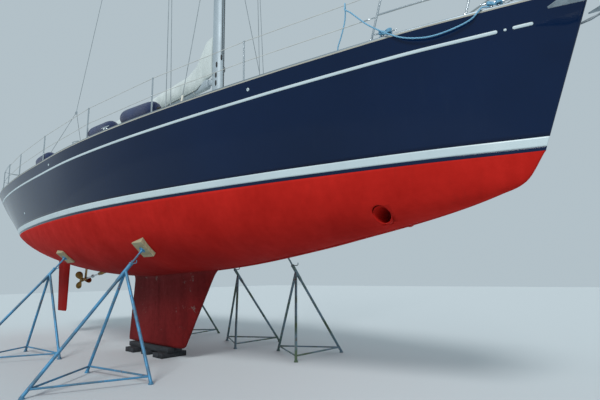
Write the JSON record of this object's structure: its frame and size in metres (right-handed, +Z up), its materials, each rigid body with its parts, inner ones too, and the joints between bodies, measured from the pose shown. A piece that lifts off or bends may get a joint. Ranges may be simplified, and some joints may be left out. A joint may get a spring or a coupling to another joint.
{
  "type": "sailing yacht",
  "caption": "Sloop rigged cruising yacht with fin keel, deckhouse, sprayhood and stowed sails, standing ashore on keel blocks and tripod boat stands.",
  "frame": {"origin": "on the ground, at the middle of the underside of the keel blocks", "axes": "+X runs forward to the bow, +Y to port, +Z up"},
  "size_m": [15.0819, 5.5822, 21.21],
  "materials": {
    "antifouling": "matt eroding red underwater paint, darker towards the keel",
    "navy_gelcoat": "glossy dark navy blue",
    "white_stripe": "glossy white",
    "anodised_rail": "weathered grey anodised",
    "deck_paint": "pale non-slip deck paint",
    "white_gelcoat": "off-white, slightly dulled",
    "window_glass": "dark tinted",
    "hatch_acrylic": "smoked acrylic",
    "joinery": "varnished joinery",
    "teak": "oiled teak",
    "stainless": "polished stainless steel",
    "canvas": "cream acrylic canvas",
    "sailcloth": "rolled white sailcloth",
    "keel_paint": "dull dark red with bare grey patches and rust",
    "timber": "rough sawn, weathered",
    "stand_paint": "chipped blue-grey paint with rust",
    "bronze": "dull bronze",
    "spar_alloy": "satin anodised",
    "galvanised": "dull zinc with brown rust at the edges",
    "fender_cover": "navy knitted cover",
    "rope": "light blue laid rope"
  },
  "bodies": {
    "yacht": {"hull_bottom": "antifouling", "boot_line": "navy_gelcoat", "boot_stripe": "white_stripe", "hull_topsides": "navy_gelcoat", "cove_stripe_port": "white_stripe", "cove_stripe_starboard": "white_stripe", "toe_rail": "anodised_rail", "deck": "deck_paint", "deckhouse": "white_gelcoat", "window_port": "window_glass", "window_starboard": "window_glass", "cabin_lining": "joinery", "forecabin_lining": "joinery", "cockpit": "white_gelcoat", "locker_bin_port": "white_gelcoat", "locker_bin_starboard": "white_gelcoat", "sea_hood": "white_gelcoat", "washboard": "teak", "fore_hatch_frame": "spar_alloy", "steering_pedestal": "white_gelcoat", "sprayhood": "canvas", "fin_keel": "keel_paint", "keel_blocks": "timber", "boat_stand_starboard_forward": "stand_paint", "boat_stand_starboard_aft": "stand_paint", "boat_stand_port_forward": "stand_paint", "boat_stand_port_middle": "stand_paint", "boat_stand_port_aft": "stand_paint", "stern_tube": "bronze", "shaft_bracket": "bronze", "mast": "spar_alloy", "furled_genoa": "sailcloth", "backstay": "stainless", "shrouds_port": "stainless", "shrouds_starboard": "stainless", "pulpit": "stainless", "pushpit": "stainless", "guardrail_port": "stainless", "guardrail_starboard": "stainless", "bow_roller": "stainless", "anchor": "galvanised", "windlass": "stainless", "winch_port": "stainless", "winch_starboard": "stainless", "fender_forward": "fender_cover", "fender_middle": "fender_cover", "fender_aft": "fender_cover", "mooring_rope": "rope"},
    "rudder": {"rudder": "antifouling"},
    "steering_wheel": {"steering_wheel": "stainless"},
    "propeller": {"propeller": "bronze", "propeller_shaft": "stainless"},
    "boom": {"boom": "spar_alloy", "sail_cover": "canvas"},
    "companion_hatch": {"companion_hatch": "teak"},
    "fore_hatch_lid": {"fore_hatch_lid": "hatch_acrylic"},
    "saloon_hatch_lid": {"saloon_hatch_lid": "hatch_acrylic"},
    "locker_lid_port": {"locker_lid_port": "teak"},
    "locker_lid_starboard": {"locker_lid_starboard": "teak"}
  },
  "joints": [
    {"name": "rudder_turn", "type": "hinge", "parent": "yacht", "child": "rudder", "pos_m": [-4.95, 0, 1.6], "axis": [0, 0, 1], "range_deg": [-35, 35]},
    {"name": "steering_wheel_turn", "type": "hinge", "parent": "yacht", "child": "steering_wheel", "pos_m": [-4.33, 0, 4.08], "axis": [1, 0, 0], "range_deg": [-315, 315]},
    {"name": "propeller_spin", "type": "hinge", "parent": "yacht", "child": "propeller", "pos_m": [-3.8, 0, 1.42], "axis": [0.9903, 0, 0.1392], "continuous": true},
    {"name": "boom_swing", "type": "hinge", "parent": "yacht", "child": "boom", "pos_m": [1.74, 0, 5.06], "axis": [0, 0, 1], "range_deg": [-78, 78]},
    {"name": "companion_hatch_slide", "type": "slide", "parent": "yacht", "child": "companion_hatch", "axis": [1, 0, 0], "range_m": [0, 0.56]},
    {"name": "fore_hatch_lid_hinge", "type": "hinge", "parent": "yacht", "child": "fore_hatch_lid", "pos_m": [4.986, 0, 3.9898], "axis": [0, 1, 0], "range_deg": [0, 100]},
    {"name": "saloon_hatch_lid_hinge", "type": "hinge", "parent": "yacht", "child": "saloon_hatch_lid", "pos_m": [0.456, 0, 4.2463], "axis": [0, 1, 0], "range_deg": [0, 95]},
    {"name": "locker_lid_port_hinge", "type": "hinge", "parent": "yacht", "child": "locker_lid_port", "pos_m": [-3.1, 0.8625, 3.6183], "axis": [-1, 0, 0], "range_deg": [0, 80]},
    {"name": "locker_lid_starboard_hinge", "type": "hinge", "parent": "yacht", "child": "locker_lid_starboard", "pos_m": [-3.1, -0.8625, 3.6183], "axis": [1, 0, 0], "range_deg": [0, 80]}
  ],
  "couplings": [
    {"joint": "steering_wheel_turn", "follows": "rudder_turn", "ratio": 9}
  ]
}
